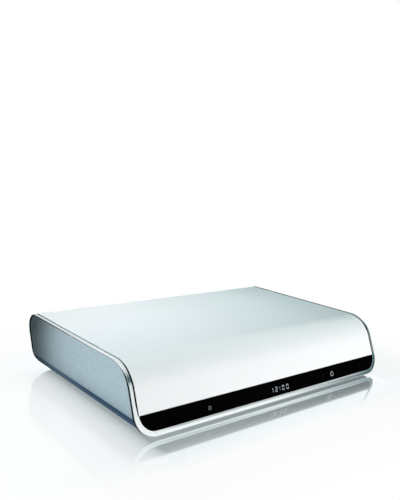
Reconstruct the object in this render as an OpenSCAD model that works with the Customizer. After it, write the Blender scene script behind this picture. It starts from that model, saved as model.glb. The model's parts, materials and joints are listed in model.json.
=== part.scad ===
// Digital television receiver that stands on a shelf, built from its separate pieces.
// Millimetres. X is the width, the front faces -Y, Z is up and the feet stand on Z = 0.

/* [Case] */
// Overall width across the trim
body_w = 220; // [216:1:300]
// Overall depth, from the lower front edge to the rear bulge
body_d = 148; // [142:1:220]
// Overall height on the feet
body_h = 41; // [40:0.5:60]
// Lean of the front and rear faces from upright, in degrees
slant = 21; // [14:0.5:25]
// Bend radius between top and front
front_r = 21; // [16:0.5:23]
// Bend radius between top and rear
rear_r = 10; // [8:0.5:12]
// Radius of the lower corners of the front face
corner_r = 13.5; // [12:0.5:16]
// Height of the lower front edge above the table
stand = 1.6; // [1.4:0.1:3]

/* [Trim frame] */
// Width of the polished rim
rim_w = 3; // [2.6:0.1:4]
// Rounding of the outer edge of the rim
rim_r = 0.6; // [0.3:0.1:0.8]
// Rounding of the inner edge of the rim
rim_inner_r = 0.3; // [0.1:0.1:0.3]
// Width of the step along the inner edge of the rim
step_w = 1.3; // [1:0.1:1.3]
// Depth of the step along the inner edge of the rim
step_t = 0.5; // [0.4:0.1:0.6]
// Thickness of the rim where it shows at the side
head_t = 0.9; // [0.9:0.1:1.2]
// Thickness of the web behind the rim
neck_w = 1.4; // [1.3:0.1:1.6]
// Thickness of the ledge that carries the cover
ledge_t = 1.6; // [1.2:0.1:2]
// Reach of the ledge under the cover
ledge_w = 2; // [1.6:0.1:2.1]
// Gap between the rim and the cover
groove = 0.2; // [0.2:0.1:0.5]
// Gap between the rim and the side walls
side_gap = 0.6; // [0.4:0.1:1]

/* [Cover] */
// Thickness of the cover
cover_t = 2.2; // [1.8:0.1:2.6]
// Height of the rear lip, measured from the top
rear_lip = 9; // [6:0.5:10]
// Radius of the screw bosses under the cover
boss_r = 3; // [2.6:0.1:3.4]
// Distance of the screw bosses from the sides
boss_inset = 10; // [9.5:0.1:12]
// Distance of the rear screw bosses from the rear edge of the boards
boss_rear_in = 12; // [10:0.5:14]

/* [Base tub] */
// Thickness of the floor and side walls
wall_t = 1.8; // [1.6:0.1:2.2]
// Thickness of the lip that reaches behind the rim
lip_t = 0.8; // [0.6:0.1:0.9]
// Set-back of the tub behind the outline of the trim
tub_recess = 0.3; // [0.2:0.1:0.5]
// Height of the screw wells above the underside
well_h = 7; // [6:0.5:9]
// Outer radius of the screw wells
well_r = 3.9; // [3.7:0.1:4.2]
// Thickness of the seat in each screw well
well_seat = 2; // [1.6:0.1:2.4]
// Number of cooling slots in the floor
vent_count = 9; // [5:1:11]
// Width of a cooling slot
vent_w = 2.4; // [1.6:0.1:3]
// Length of a cooling slot
vent_len = 26; // [15:1:30]
// Spacing of the cooling slots
vent_pitch = 7; // [5:0.5:8]

/* [Front strip] */
// Upper edge of the strip, measured up the front face
strip_top = 13.1; // [12.5:0.1:15]
// Gap between the strip and its neighbours
strip_gap = 0.3; // [0.15:0.05:0.4]
// Height of the key, display and sensor, measured up the front face
mark_s = 8.4; // [8.2:0.1:8.8]
// Position of the infrared sensor along the front
sensor_x = -59; // [-64:1:-50]
// Position of the display along the front
display_x = 3; // [-4:1:10]
// Position of the power key along the front
key_x = 57.5; // [52:0.5:62]

/* [Power key] */
// Width of the key
key_w = 17; // [12:0.5:20]
// Height of the key
key_h = 5.6; // [4.6:0.1:5.8]
// Corner radius of the key
key_r = 1.2; // [0.6:0.1:2]
// Gap round the key
key_gap = 0.2; // [0.1:0.05:0.3]
// Travel of the key
key_travel = 0.4; // [0.2:0.05:0.5]
// Reach of the wings that hold the key behind the strip
key_wing = 1.2; // [0.8:0.1:2]
// Thickness of the wings
key_wing_t = 1.1; // [0.9:0.1:1.1]
// Width of the switch under the key
switch_w = 4.6; // [4:0.1:5]
// Height of the switch body
switch_t = 1.4; // [1.2:0.1:1.4]
// Radius of the switch plunger
plunger_r = 1; // [0.8:0.1:1.5]
// Reach of the plunger out of the switch body
plunger_out = 0.5; // [0.45:0.05:0.6]
// Radius of the stem that pushes the plunger
stem_r = 1.5; // [1.2:0.1:2]

/* [Front board] */
// Thickness of the carrier behind the strip
carrier_t = 1.5; // [1.2:0.1:1.5]
// Upper edge of the carrier, measured up the front face
carrier_top = 22; // [20:0.5:23]
// Depth of the front board behind the front face
front_board_in = 5.5; // [5.5:0.1:6]
// Width of the front board
front_board_w = 150; // [140:1:160]
// Height of the front board
front_board_h = 14; // [13.5:0.5:16]
// Lower edge of the front board, measured up the front face
front_board_low = 5.9; // [5.8:0.1:6]
// Width of the display module
display_w = 21.4; // [18:0.1:26]
// Height of the display module
display_h = 4.2; // [3.6:0.1:4.6]
// Reach of the display module from its board
display_t = 2.9; // [2:0.1:3]
// Width of the infrared sensor
sensor_w = 4.4; // [4:0.1:4.8]
// Thickness of the body of the infrared sensor
sensor_t = 1.5; // [1:0.1:1.6]
// Radius of the lens of the infrared sensor
lens_r = 1.4; // [1:0.1:1.4]
// Radius of the window for the infrared sensor
sensor_window_r = 2.4; // [2:0.1:2.5]
// Distance of the carrier posts from the middle
post_x = 35; // [28:1:40]
// Height of the carrier posts, measured up the front face
post_s = 16; // [15:0.5:17]
// Radius of the carrier posts
post_r = 2.2; // [1.8:0.1:2.6]

/* [Boards] */
// Thickness of the circuit boards
pcb_t = 1.6; // [1.2:0.1:2]
// Height of the board posts above the floor
board_rise = 4; // [3.5:0.1:6]
// Gap between the boards and the screw wells
board_clear = 1.1; // [0.5:0.1:2]
// Gap between the two boards
board_gap = 6; // [4:0.5:7]
// Depth of the main board
main_d = 62; // [58:1:66]
// Width of the power supply board
psu_w = 29; // [28:0.5:30]
// Depth of the power supply board
psu_d = 88; // [86:1:92]
// Radius of the board posts
standoff_r = 3; // [2.4:0.1:3.2]
// Distance of the board posts from the board edges
standoff_inset = 4; // [3.5:0.1:4.5]
// Distance of the rear board posts from the rear board edge
standoff_rear = 23; // [22:0.5:25]

/* [Rear panel] */
// Depth of the bay in front of the rear panel
bay_d = 8; // [6:0.5:10]
// Thickness of the rear panel
panel_t = 2; // [1.5:0.1:2.5]
// Clearance round each socket in the rear panel
cutout_gap = 0.3; // [0.2:0.05:0.5]
// Height of the ribs that hold the rear panel
panel_rib_h = 3; // [2:0.1:3.2]
// Thickness of the ribs that hold the rear panel
panel_rib_t = 1.5; // [1:0.1:2]
// Number of cooling slots in the rear panel
panel_vents = 14; // [6:1:16]
// Spacing of the cooling slots in the rear panel
panel_vent_pitch = 6; // [5:0.5:7]
// Height of the cooling slots in the rear panel
panel_vent_h = 4.5; // [3:0.5:5]

/* [Sockets] */
// Outer height of a 21-pin socket
scart_h = 17; // [16:0.1:18]
// Depth of a 21-pin socket
scart_d = 14; // [13:0.5:15]
// Wall of a 21-pin socket
scart_wall = 1.4; // [1.2:0.1:1.6]
// Gap round the contact insert of a 21-pin socket
scart_channel = 1.9; // [1.6:0.1:2]
// Corner cut of a 21-pin socket
scart_cut = 4; // [3:0.1:5]
// Reach of the sockets out of the rear panel
socket_proud = 1; // [0.5:0.1:1.5]
// Gap between sockets along the panel
socket_gap = 5.3; // [4:0.1:6]
// Width of a contact slot
slot_w = 1; // [0.8:0.1:1.4]
// Height of a contact slot
slot_h = 3.2; // [2.6:0.1:3.6]
// Depth of the contact slots
slot_d = 7; // [4:0.5:9]
// Height of the slot rows above and below the middle of a socket
slot_row = 2.1; // [2:0.1:2.4]
// Number of contact slots in a row
slot_count = 10; // [8:1:11]
// Width of the digital audio socket
jack_w = 11; // [10.5:0.1:12]
// Outer radius of the digital audio socket
jack_r = 4.15; // [4:0.05:4.2]
// Wall of the digital audio sleeve
jack_wall = 0.75; // [0.6:0.05:0.9]
// Radius of the contact hole in the digital audio socket
jack_hole_r = 1.65; // [1.6:0.05:1.7]
// Reach of the digital audio socket
jack_reach = 9; // [8:0.5:10]
// Width of the mains inlet
inlet_w = 21; // [20:0.1:22]
// Height of the mains inlet
inlet_h = 13; // [12:0.1:14]
// Depth of the mains inlet
inlet_d = 18; // [17:0.5:19]
// Spacing of the mains pins
inlet_pitch = 8.6; // [8.4:0.1:8.8]
// Radius of each lobe of the mains inlet
inlet_lobe_r = 4.1; // [4:0.1:4.3]
// Height of the waist between the lobes
inlet_waist = 5.8; // [5.4:0.1:6.2]
// Depth of the recess of the mains inlet
inlet_recess = 12; // [11:0.5:13]
// Radius of a mains pin
inlet_pin_r = 1.2; // [1.1:0.05:1.25]
// Length of a mains pin
inlet_pin_len = 9.5; // [9:0.1:10]

/* [Tuner] */
// Width of the tuner can
tuner_w = 34; // [33:0.5:36]
// Depth of the tuner can
tuner_d = 50; // [40:1:51]
// Height of the tuner can
tuner_h = 14; // [13.5:0.5:16]
// Thickness of the tin of the tuner can
tuner_t = 0.6; // [0.4:0.1:1]
// Spacing of the aerial sockets
aerial_pitch = 18; // [17:0.5:20]
// Outer radius of the aerial input socket
aerial_r = 6.2; // [6:0.1:6.4]
// Bore radius of the aerial input socket
aerial_bore_r = 4.85; // [4.8:0.05:4.9]
// Reach of the aerial sockets out of the rear panel
aerial_reach = 9; // [8:0.5:10]
// Outer radius of the aerial input contact
contact_r = 1.9; // [1.8:0.1:2.2]
// Bore radius of the aerial input contact
contact_bore_r = 1.2; // [1.15:0.05:1.3]
// Outer radius of the loop-through sleeve
loop_r = 4.75; // [4.7:0.05:4.8]
// Wall of the loop-through sleeve
loop_wall = 0.65; // [0.5:0.05:0.8]
// Radius of the loop-through pin
loop_pin_r = 1.2; // [1.1:0.05:1.25]
// Thickness of the insulators at the base of the aerial sockets
aerial_base = 3; // [2:0.1:4]

/* [Main board pieces] */
// Side of the decoder chip
chip_w = 27; // [24:1:28]
// Thickness of the decoder chip
chip_t = 2.2; // [1.6:0.1:3]
// Side of the heat sink
sink_w = 28; // [24:1:30]
// Base of the heat sink
sink_base = 2.5; // [2:0.1:3]
// Height of the heat sink fins
sink_fin_h = 8; // [5:0.5:10]
// Number of heat sink fins
sink_fins = 7; // [5:1:8]
// Thickness of a heat sink fin
sink_fin_t = 1.4; // [1:0.1:1.6]
// Radius of a board capacitor
cap_r = 4; // [3:0.1:4.2]
// Height of a board capacitor
cap_h = 12; // [9:0.5:15]
// Spacing of the board capacitors
cap_pitch = 12; // [9:0.5:13]

/* [Power supply pieces] */
// Width of the transformer core
core_w = 20; // [18:0.5:21]
// Depth of the transformer core
core_d = 15; // [13:0.5:16]
// Height of the transformer core
core_h = 19; // [17:0.5:21]
// Thickness of the legs of the core
core_leg = 3; // [2.5:0.1:3.2]
// Overhang of the winding at the front and back of the core
winding_over = 3.5; // [2.5:0.1:4]
// Radius of the mains capacitor
bulk_r = 8; // [7:0.1:8.2]
// Height of the mains capacitor
bulk_h = 24; // [20:0.5:25]
// Width of the power supply heat sink
plate_w = 14; // [12:0.5:15]
// Height of the power supply heat sink
plate_h = 22; // [16:0.5:24]
// Thickness of the plate and fins of the power supply heat sink
plate_t = 1.8; // [1.4:0.1:2]
// Depth of the fins of the power supply heat sink
plate_fin = 7; // [4:0.5:8]
// Space between the pieces along the power supply board
psu_space = 6; // [4:0.5:6.5]

/* [Leads] */
// Width of the ribbon cable
ribbon_w = 12; // [8:0.5:13]
// Thickness of the ribbon cable
ribbon_t = 0.8; // [0.5:0.1:1]
// Drop of the ribbon cable behind the front board
ribbon_drop = 1; // [0.5:0.1:1.5]
// Height of the ribbon sockets
link_h = 3.2; // [3:0.1:4]
// Depth of the ribbon sockets
link_d = 2.6; // [2.2:0.1:3]
// Wall of the ribbon sockets beside the ribbon
link_wall = 1; // [0.6:0.1:1.5]
// Distance of the ribbon socket from the front edge of the main board
link_in = 2; // [1:0.1:3]
// Width of the power lead plugs along the boards
plug_w = 9; // [7:0.5:10]
// Depth of the power lead plugs
plug_d = 5; // [4:0.1:5.4]
// Height of the power lead plugs
plug_h = 6; // [5:0.5:8]
// Distance of the power lead plugs from the board edges
plug_in = 0.5; // [0.3:0.1:0.8]
// Margin of the power lead at each end of its plugs
lead_in = 1; // [0.5:0.1:1.5]
// Thickness of the power lead
lead_t = 1.2; // [0.8:0.1:1.6]

/* [Feet and screws] */
// Radius of a foot
foot_r = 6.5; // [5:0.1:7.5]
// Distance of the feet from the sides
foot_inset = 31; // [26:0.5:34]
// Distance of the feet from the front and rear lower edges
foot_in = 17; // [13:0.5:20]
// Depth of the recess that holds a foot
foot_recess = 0.6; // [0.4:0.1:0.8]
// Shank radius of the case screws
case_screw_r = 1.4; // [1.2:0.05:1.5]
// Head radius of the case screws
case_head_r = 2.6; // [2.2:0.1:2.8]
// Head height of the case screws
case_head_h = 1.9; // [1.5:0.1:2.2]
// Reach of the case screws into the cover
case_screw_in = 8; // [5:0.5:10]
// Shank radius of the board screws
board_screw_r = 1.1; // [0.9:0.05:1.3]
// Head radius of the board screws
board_head_r = 2.4; // [2:0.1:2.6]
// Head height of the board screws
board_head_h = 1.5; // [1.2:0.1:1.8]
// Shank radius of the front board screws
front_screw_r = 0.8; // [0.6:0.05:0.9]
// Head radius of the front board screws
front_head_r = 1.6; // [1.3:0.1:1.8]
// Head height of the front board screws
front_head_h = 1; // [0.8:0.1:1.2]

/* [Fits] */
// Clearance between pieces that sit in one another
fit = 0.1; // [0.05:0.01:0.15]
// Clearance between a screw and its hole
screw_fit = 0.1; // [0.05:0.01:0.2]
// Running clearance of the switch plunger
run_fit = 0.05; // [0.03:0.01:0.08]
// Gap between the cover and the ledge below it
seat_gap = 0.2; // [0.1:0.05:0.3]
// Clearance round pieces that pass through an opening
slack = 0.4; // [0.3:0.05:0.5]

/* [Hidden] */
$fn = 96;
// Step that keeps neighbouring lengths of one sweep from grazing each other
lap = 0.02;
// Overlap that joins a piece of a part to the rest of it
root = 0.4;
// Allowance that carries a cut clear of a face
clear = 1;

trim_depth = cover_t + seat_gap + ledge_t;
y_front = -body_d / 2;
rear_corner = body_d / 2 + rear_r * (tan((90 + slant) / 2) - 1);
rise = tidy((body_h - stand) / cos(slant));
front_bend = tidy(rise - front_r * tan((90 - slant) / 2));
rear_bend = tidy(rear_r * tan((90 + slant) / 2));
front_arc_y = front_y(body_h - front_r, front_r);
rear_arc_y = rear_y(body_h - rear_r, rear_r);
rim_x = body_w / 2 - rim_w;
bar_w = body_w - 2 * corner_r;

tub_z = stand + tub_recess;
tub_r = corner_r * cos(slant);
floor_z = tub_z + wall_t;
boss_x = body_w / 2 - boss_inset;
well_top = tub_z + well_h;
well_bore_r = case_head_r + slack;

panel_out = rear_y(stand, 0) - bay_d;
panel_in = panel_out - panel_t;
panel_top = body_h - cover_t - fit;
board_z = floor_z + board_rise;
board_top = board_z + pcb_t;
board_rear = panel_in - slack;
board_half = boss_x - well_r - board_clear;
psu_x0 = -board_half;
psu_x1 = psu_x0 + psu_w;
psu_y0 = board_rear - psu_d;
psu_mid = psu_x0 + psu_w / 2;
main_x0 = psu_x1 + board_gap;
main_y0 = board_rear - main_d;

boss_front_y = front_arc_y + boss_r;
boss_rear_y = board_rear - boss_rear_in;
bosses = [for (sx = [-1, 1]) for (y = [boss_front_y, boss_rear_y]) [sx * boss_x, y]];
main_posts = [
    [main_x0 + standoff_inset, main_y0 + standoff_inset],
    [board_half - standoff_inset, main_y0 + standoff_inset],
    [main_x0 + standoff_inset, board_rear - standoff_rear],
    [board_half - tuner_w - standoff_inset, board_rear - standoff_rear]
];
psu_posts = [
    [psu_x0 + standoff_inset, psu_y0 + standoff_inset],
    [psu_x1 - standoff_inset, psu_y0 + standoff_inset],
    [psu_x0 + standoff_inset, board_rear - standoff_rear],
    [psu_x1 - standoff_inset, board_rear - standoff_rear]
];

jack_x = main_x0 + jack_w / 2;
jack_z = board_top + jack_w / 2;
jack_end = panel_out + jack_reach;
scart_z = board_top + scart_h / 2;
scart_w = (board_half - main_x0 - jack_w - tuner_w - 3 * socket_gap) / 2;
vcr_x = main_x0 + jack_w + socket_gap + scart_w / 2;
tv_x = vcr_x + scart_w + socket_gap;
scarts = [tv_x, vcr_x];
scart_back = panel_out + socket_proud - scart_d;
inlet_z = board_top + inlet_h / 2;
inlet_face = panel_out + socket_proud;
inlet_back = inlet_face - inlet_d;
inlet_floor = inlet_face - inlet_recess;
inlet_xs = [psu_mid - inlet_pitch / 2, psu_mid + inlet_pitch / 2];
tuner_x = board_half - tuner_w / 2;
tuner_back = board_rear - slack;
aerial_z = board_top + tuner_h / 2;
aerial_in_x = tuner_x - aerial_pitch / 2;
aerial_out_x = tuner_x + aerial_pitch / 2;
aerial_end = panel_out + aerial_reach;

strip_low = rim_w + strip_gap;
carrier_front = cover_t + fit;
carrier_back = carrier_front + carrier_t;
carrier_low = rim_w + ledge_w + fit;
front_board_back = front_board_in + pcb_t;
wing_back = carrier_front + key_wing_t;
plunger_top = front_board_in - switch_t - plunger_out;
plunger_end = front_board_in - run_fit - key_travel - 2 * run_fit;
screw_blind = carrier_front + root;

link_x = (display_x - post_x) / 2;
link_z = board_top + link_h / 2;
link_out = front_board_back + link_d;
link_s = (link_z + ribbon_drop - stand + link_out * sin(slant)) / cos(slant);
link_wide = ribbon_w + 2 * link_wall;
link_front = main_y0 + link_in;

chip_x = (main_x0 + board_half - tuner_w) / 2;
chip_y = (main_y0 + scart_back) / 2;
caps = [for (sx = [-1, 1]) for (i = [1, 2]) [chip_x + sx * (sink_w / 2 + i * cap_pitch), chip_y]];
core_y = psu_y0 + standoff_inset + plate_fin + psu_space + winding_over + core_d / 2;
core_back = core_y + core_d / 2 + winding_over + psu_space;
core_window = core_w / 2 - 2 * core_leg;
bulk_y = core_back + bulk_r;
plug_y = core_back + plug_w / 2;
lead_mid = (psu_x1 + main_x0) / 2;
lead_r = board_gap / 2 + plug_in + plug_d / 2;
foot_x = body_w / 2 - foot_inset;
foot_front = y_front + foot_in;
foot_rear = rear_y(stand, 0) - foot_in;
feet = [for (sx = [-1, 1]) for (y = [foot_front, foot_rear]) [sx * foot_x, y]];

// Rounds a derived length to a thousandth, so that neighbouring lengths meet
function tidy(v) = round(v * 1000) / 1000;
// Y of the front face at height z, moved inwards by d
function front_y(z, d) = y_front + (z - stand) * tan(slant) + d / cos(slant);
// Y of the rear face at height z, moved inwards by d
function rear_y(z, d) = rear_corner - (body_h - z) * tan(slant) - d / cos(slant);
// Point s up the front face and n out of it, as [y, z]
function front_pt(s, n) =
    [y_front + s * sin(slant) - n * cos(slant), stand + s * cos(slant) + n * sin(slant)];
function unit(v) = v / norm(v);
function corner_half(p, q, r) = acos(unit(p - q) * unit(r - q)) / 2;

// Round segment beyond the chord from a to b
module corner_arc(a, b, centre, radius) {
    out = unit((a + b) / 2 - centre) * radius;
    intersection() {
        translate(centre) circle(r = radius);
        polygon([a, a + out, b + out, b]);
    }
}

// Polygon with a rounding radius at each corner, zero for a sharp one
module rounded_polygon(points, radii) {
    count = len(points);
    function before(i) = points[(i + count - 1) % count];
    function after(i) = points[(i + 1) % count];
    function half(i) = corner_half(before(i), points[i], after(i));
    function entry(i) = points[i] + unit(before(i) - points[i]) * radii[i] / tan(half(i));
    function leave(i) = points[i] + unit(after(i) - points[i]) * radii[i] / tan(half(i));
    function bisector(i) = unit(unit(before(i) - points[i]) + unit(after(i) - points[i]));
    function centre(i) = points[i] + bisector(i) * radii[i] / sin(half(i));
    polygon([for (i = [0 : count - 1]) each radii[i] > 0 ? [entry(i), leave(i)] : [points[i]]]);
    for (i = [0 : count - 1])
        if (radii[i] > 0)
            corner_arc(entry(i), leave(i), centre(i), radii[i]);
}

// Rectangle between two corners, with one radius below and one above
module rounded_box(x0, y0, x1, y1, low_r, high_r) {
    rounded_polygon([[x0, y0], [x1, y0], [x1, y1], [x0, y1]], [low_r, low_r, high_r, high_r]);
}

// Frame of the front face: x, up the face, out of the face
module in_front() {
    translate([0, y_front, stand]) rotate([90 - slant, 0, 0]) children();
}

// Frame of the rear face: x, down the face, out of the face
module in_rear() {
    translate([0, rear_corner, body_h]) rotate([-90 - slant, 0, 0]) children();
}

// Extrudes a (y, z) outline over the width w, about the middle
module along_x(w) {
    rotate([90, 0, 90]) linear_extrude(w, center = true) children();
}

// Extrudes an (x, z) outline from y0 to y1
module along_y(y0, y1) {
    translate([0, y1, 0]) rotate([90, 0, 0]) linear_extrude(y1 - y0) children();
}

// Extrudes an outline on the front face from depth d0 to the greater depth d1
module into_front(d0, d1) {
    in_front() translate([0, 0, -d1]) linear_extrude(d1 - d0) children();
}

// Cylinder into the front face at (x, s), from depth d0 to the greater depth d1
module front_peg(x, s, d0, d1, r) {
    in_front() translate([x, s, -d1]) cylinder(r = r, h = d1 - d0);
}

// Cylinder along Y at (x, z) from y0 to y1
module y_peg(x, z, y0, y1, r) {
    translate([x, y1, z]) rotate([90, 0, 0]) cylinder(r = r, h = y1 - y0);
}

// Upright cylinder at p from z0 to z1
module z_peg(p, z0, z1, r) {
    translate([p[0], p[1], z0]) cylinder(r = r, h = z1 - z0);
}

// Block between two corners
module block(low, high) {
    translate(low) cube(high - low);
}

// Side view of the case moved inwards by d, down to height low
module side_profile(d, low) {
    top = body_h - d;
    rounded_polygon(
        [[front_y(low, d), low], [rear_y(low, d), low], [rear_y(top, d), top], [front_y(top, d), top]],
        [0, 0, rear_r - d, front_r - d]);
}

// Front view of the tub moved inwards by d
module tub_section(d) {
    half = body_w / 2 - tub_recess - d;
    rounded_box(-half, tub_z + d, half, body_h, tub_r - d, 0);
}

module tub_shell(thickness, inset) {
    intersection() {
        along_y(-body_d, body_d) difference() {
            tub_section(0);
            tub_section(thickness);
        }
        along_x(body_w) side_profile(inset, stand);
    }
}

// Cross-section of the trim moved inwards by e, from the inner edge of the rim outwards and out of the face
module trim_section(e = 0) {
    seat = cover_t + seat_gap + e;
    under = trim_depth - e;
    head = head_t - e;
    step = step_t + e;
    rounded_polygon(
        [[step_w + e, -e], [step_w + e, -step], [e, -step], [e, -seat], [e - ledge_w, -seat], [e - ledge_w, -under],
         [neck_w - e, -under], [neck_w - e, -head], [rim_w - e, -head], [rim_w - e, -e]],
        [rim_inner_r, 0, 0, 0, 0, 0, 0, 0, 0, rim_r]);
}

// Cross-section of the trim below the rear lip, where it carries no cover
module rear_section() {
    rounded_polygon(
        [[step_w, 0], [step_w, -step_t], [0, -step_t], [0, -trim_depth], [neck_w, -trim_depth], [neck_w, -head_t],
         [rim_w, -head_t], [rim_w, 0]],
        [rim_inner_r, 0, 0, 0, 0, 0, 0, rim_r]);
}

// Bend of the trim about X, starting square to the face
module trim_bend(r, turn) {
    rotate([0, -90, 0]) mirror([0, 0, 1])
        rotate_extrude(angle = turn) translate([r, 0]) mirror([1, -1, 0]) trim_section();
}

module trim_rail() {
    in_front() {
        translate([body_w / 2 - corner_r, corner_r, 0]) rotate([0, 0, -90])
            rotate_extrude(angle = 90) translate([corner_r - rim_w, 0]) trim_section();
        translate([rim_x, corner_r, 0]) rotate([-90, 0, 0]) mirror([0, 1, 0])
            linear_extrude(front_bend - corner_r) trim_section();
        translate([rim_x, front_bend, -front_r]) trim_bend(front_r, 90 - slant);
    }
    translate([rim_x, rear_arc_y + root, body_h]) rotate([90, 0, 0])
        linear_extrude(rear_arc_y - front_arc_y + 2 * root) trim_section(lap);
    in_rear() {
        translate([rim_x, rear_bend, -rear_r]) mirror([0, 1, 0]) trim_bend(rear_r, 90 + slant);
        translate([rim_x, rise - corner_r, 0]) rotate([90, 0, 0])
            linear_extrude(rise - corner_r - rear_bend) rear_section();
        translate([body_w / 2 - corner_r, rise - corner_r, 0])
            rotate_extrude(angle = 90) translate([corner_r - rim_w, 0]) rear_section();
    }
}

// Room for the lip of the tub behind the rim
module lip_room() {
    intersection() {
        along_x(body_w + 2 * clear) side_profile(head_t + side_gap / 2, -body_h);
        along_y(-body_d, body_d) difference() {
            translate([-body_w, -body_h]) square([2 * body_w, 2 * body_h]);
            tub_section(lip_t + fit);
        }
    }
}

module trim_frame() {
    color("silver") difference() {
        union() {
            trim_rail();
            mirror([1, 0, 0]) trim_rail();
            in_front() translate([bar_w / 2, rim_w, 0]) rotate([90, 0, -90])
                linear_extrude(bar_w) trim_section();
            in_rear() translate([-bar_w / 2, rise - rim_w, 0]) rotate([90, 0, 90])
                linear_extrude(bar_w) rear_section();
        }
        lip_room();
    }
}

module cover_sheet() {
    low = front_pt(strip_top + strip_gap, 2 * clear);
    inner = front_pt(strip_top + strip_gap, -2 * cover_t);
    lip_z = body_h - rear_lip;
    intersection() {
        difference() {
            side_profile(0, stand);
            side_profile(cover_t, stand - clear);
        }
        polygon([low, inner, [0, lip_z], [body_d, lip_z], [body_d, 2 * body_h], [-body_d, 2 * body_h],
                 [-body_d, low[1]]]);
    }
}

module top_cover() {
    color("white") difference() {
        union() {
            along_x(2 * (rim_x - groove)) cover_sheet();
            for (p = bosses)
                z_peg(p, well_top + fit, body_h - cover_t + root, boss_r);
        }
        for (p = bosses)
            z_peg(p, well_top - clear, well_top + case_screw_in + clear, case_screw_r + screw_fit / 2);
    }
}

module panel_ribs() {
    long = board_half - standoff_inset;
    for (y = [panel_in - fit - panel_rib_t, panel_out + fit])
        block([-long, y, floor_z - root], [long, y + panel_rib_t, floor_z + panel_rib_h]);
}

module vents() {
    half = vent_w / 2;
    long = vent_len / 2;
    for (i = [0 : vent_count - 1])
        translate([chip_x + (i - (vent_count - 1) / 2) * vent_pitch, chip_y, tub_z - clear])
            linear_extrude(wall_t + 2 * clear)
                rounded_box(-half, -long, half, long, half - lap, half - lap);
}

module base_tub() {
    color("lightslategray") difference() {
        union() {
            tub_shell(wall_t, trim_depth + 2 * fit);
            tub_shell(lip_t, head_t + side_gap);
            for (p = concat(main_posts, psu_posts))
                z_peg(p, floor_z - root, board_z, standoff_r);
            for (p = bosses)
                z_peg(p, floor_z - root, well_top, well_r);
            panel_ribs();
        }
        for (p = bosses) {
            z_peg(p, tub_z - clear, well_top - well_seat, well_bore_r);
            z_peg(p, tub_z, well_top + clear, case_screw_r + 2 * screw_fit);
        }
        for (p = concat(main_posts, psu_posts))
            z_peg(p, floor_z, board_z + clear, board_screw_r + screw_fit);
        for (p = feet)
            z_peg(p, tub_z - clear, tub_z + foot_recess, foot_r + fit);
        vents();
    }
}

module key_outline(grow) {
    translate([key_x, mark_s])
        rounded_box(-key_w / 2 - grow, -key_h / 2 - grow, key_w / 2 + grow, key_h / 2 + grow,
            key_r + grow, key_r + grow);
}

module front_strip() {
    half = body_w / 2 - strip_low;
    radius = corner_r - strip_low;
    color("black") into_front(0, cover_t) difference() {
        intersection() {
            rounded_box(-half, strip_low, half, 2 * corner_r, radius, 0);
            translate([-body_w, 0]) square([2 * body_w, strip_top]);
        }
        key_outline(key_gap);
    }
}

module front_carrier() {
    half = body_w / 2 - carrier_low;
    wing_half = key_w / 2 + key_wing + slack;
    hole_r = front_screw_r + screw_fit / 2;
    window = [display_w + slack, display_h + slack];
    color("dimgray") difference() {
        union() {
            into_front(carrier_front, carrier_back)
                rounded_box(-half, carrier_low, half, carrier_top, corner_r - carrier_low, 0);
            for (sx = [-1, 1])
                front_peg(sx * post_x, post_s, carrier_back - root, front_board_in, post_r);
        }
        into_front(carrier_front - clear, carrier_back + clear) {
            translate([key_x - wing_half, 0]) square([2 * wing_half, mark_s + key_h / 2 + slack]);
            translate([display_x, mark_s]) square(window, center = true);
            translate([sensor_x, mark_s]) circle(r = sensor_window_r);
        }
        for (sx = [-1, 1])
            front_peg(sx * post_x, post_s, screw_blind, front_board_in + clear, hole_r);
    }
}

module power_key() {
    color("black") {
        into_front(0, wing_back) key_outline(0);
        into_front(carrier_front, wing_back)
            translate([key_x, mark_s]) square([key_w + 2 * key_wing, key_h - 2 * key_r], center = true);
        front_peg(key_x, mark_s, wing_back - root, plunger_top, stem_r);
    }
}

module switch_plunger() {
    color("ivory") front_peg(key_x, mark_s, plunger_top, plunger_end, plunger_r);
}

module power_switch() {
    face = front_board_in - switch_t;
    color("dimgray") difference() {
        into_front(face, front_board_in) translate([key_x, mark_s]) square(switch_w, center = true);
        front_peg(key_x, mark_s, face - clear, front_board_in + clear, plunger_r + run_fit);
    }
}

module front_board() {
    color("darkgreen") difference() {
        into_front(front_board_in, front_board_back)
            translate([display_x - front_board_w / 2, front_board_low])
                square([front_board_w, front_board_h]);
        for (sx = [-1, 1])
            front_peg(sx * post_x, post_s, front_board_in - clear, front_board_back + clear,
                front_screw_r + screw_fit);
    }
}

module ir_sensor() {
    face = front_board_in - sensor_t;
    color("indigo") union() {
        into_front(face, front_board_in) translate([sensor_x, mark_s]) square(sensor_w, center = true);
        difference() {
            in_front() translate([sensor_x, mark_s, -face]) sphere(r = lens_r);
            into_front(face + sensor_t / 2, face + sensor_w)
                translate([sensor_x, mark_s]) square(sensor_w, center = true);
        }
    }
}

module display_module() {
    color("whitesmoke") into_front(front_board_in - display_t, front_board_in)
        translate([display_x, mark_s]) square([display_w, display_h], center = true);
}

module front_screws() {
    color("gray") for (sx = [-1, 1]) {
        front_peg(sx * post_x, post_s, front_board_back, front_board_back + front_head_h, front_head_r);
        front_peg(sx * post_x, post_s, screw_blind + root, front_board_back + root, front_screw_r);
    }
}

module link_sockets() {
    color("ivory") {
        into_front(front_board_back, link_out)
            translate([link_x, link_s]) square([link_wide, link_h], center = true);
        block([link_x - link_wide / 2, link_front, board_top],
            [link_x + link_wide / 2, link_front + link_h, board_top + link_h]);
    }
}

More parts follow.
